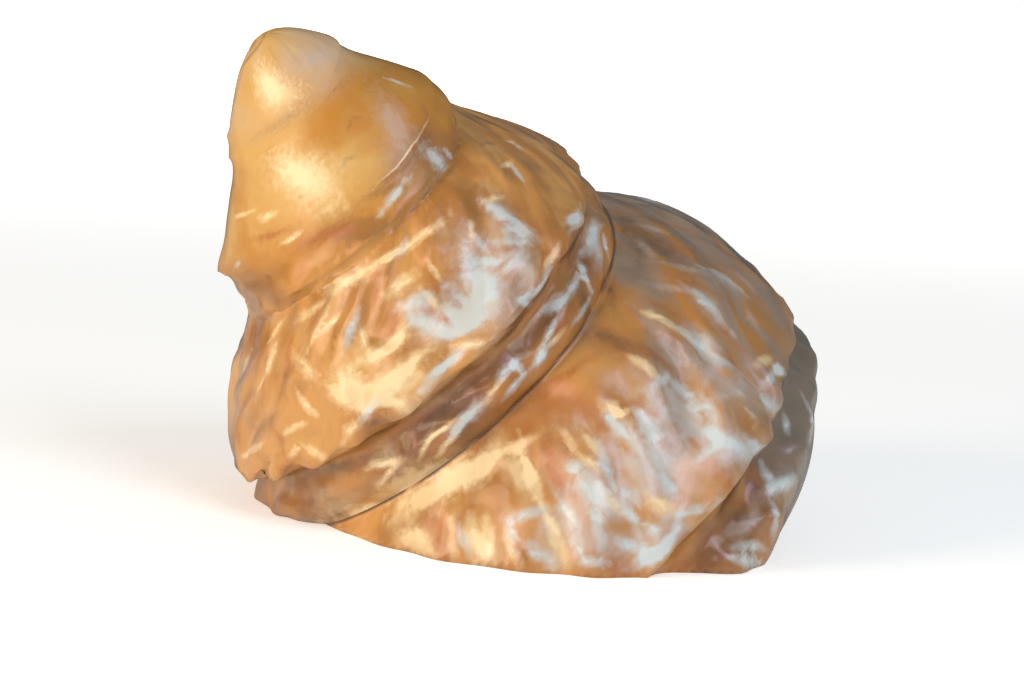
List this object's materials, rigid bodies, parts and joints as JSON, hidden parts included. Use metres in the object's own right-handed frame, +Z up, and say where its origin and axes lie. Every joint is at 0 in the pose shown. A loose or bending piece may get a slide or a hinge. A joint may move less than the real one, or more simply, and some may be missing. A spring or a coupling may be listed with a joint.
{
  "type": "turban shell",
  "caption": "Polished nacre turban shell with a knobbed keel, a beaded cord and oblique folds, lying on its open mouth.",
  "frame": {"origin": "centre of the bounding box in plan, on the plane that the mouth's rim rests on", "axes": "+Z up from the rim; -Y is the side the picture shows, with the pointed top leaning to -X and the last turn at +X"},
  "size_m": [0.0938, 0.091, 0.0747],
  "materials": {
    "nacre": "polished mother of pearl, golden orange with cream, pale blue and pink patches"
  },
  "bodies": {
    "root": {"shell": "nacre"}
  },
  "joints": []
}
